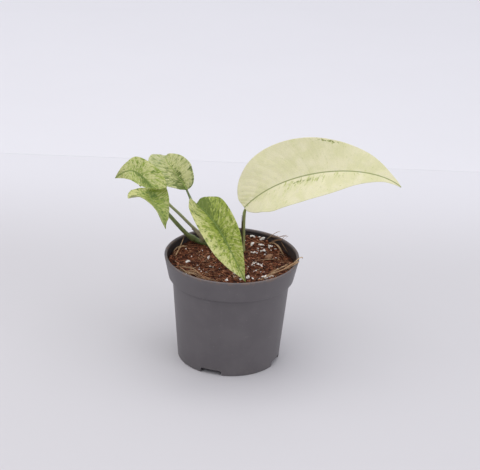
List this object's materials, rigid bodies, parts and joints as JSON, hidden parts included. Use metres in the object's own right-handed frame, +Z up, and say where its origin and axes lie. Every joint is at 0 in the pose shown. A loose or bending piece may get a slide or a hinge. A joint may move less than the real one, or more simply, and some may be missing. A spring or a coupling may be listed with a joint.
{
  "type": "potted swiss cheese vine",
  "caption": "Young variegated vine with heart-shaped cream and green leaves on slender stalks, rooted in soil in a plain tapered nursery pot.",
  "frame": {"origin": "on the floor under the middle of the whole object's bounding box; the pot's axis is a little to -X and -Y of it", "axes": "+Z up, +X towards the tip of the large cream leaf, -Y towards the side that the small leaves hang over"},
  "size_m": [0.2522, 0.168, 0.199],
  "materials": {
    "pot_plastic": "satin moulded polypropylene, grey",
    "soil": "coarse damp coir and peat mix",
    "green_stem": "smooth waxy green",
    "leaf_green": "waxy leaf, green marbled with cream",
    "leaf_cream": "waxy leaf, cream with green along the midrib",
    "dry_sheath": "papery and dry",
    "root": "pale root",
    "perlite": "matt white, porous",
    "bark": "rough bark",
    "coir": "dry tan fibre"
  },
  "bodies": {
    "root": {"bark_chip": "bark", "dried_sheath": "dry_sheath", "fibre_back": "coir", "fibre_front": "coir", "fibre_left": "coir", "fibre_over_rim": "coir", "fibre_right": "coir", "leaf_a": "leaf_green", "leaf_b": "leaf_green", "leaf_c": "leaf_green", "leaf_d": "leaf_green", "leaf_e": "leaf_cream", "main_stem": "green_stem", "nursery_pot": "pot_plastic", "perlite_01": "perlite", "perlite_02": "perlite", "perlite_03": "perlite", "perlite_04": "perlite", "perlite_05": "perlite", "perlite_06": "perlite", "perlite_07": "perlite", "perlite_08": "perlite", "perlite_09": "perlite", "perlite_10": "perlite", "perlite_11": "perlite", "perlite_12": "perlite", "petiole_a": "green_stem", "petiole_b": "green_stem", "petiole_c": "green_stem", "petiole_d": "green_stem", "petiole_e": "green_stem", "potting_soil": "soil", "root_1": "root", "root_2": "root", "root_3": "root", "tan_sheath": "dry_sheath"}
  },
  "joints": []
}
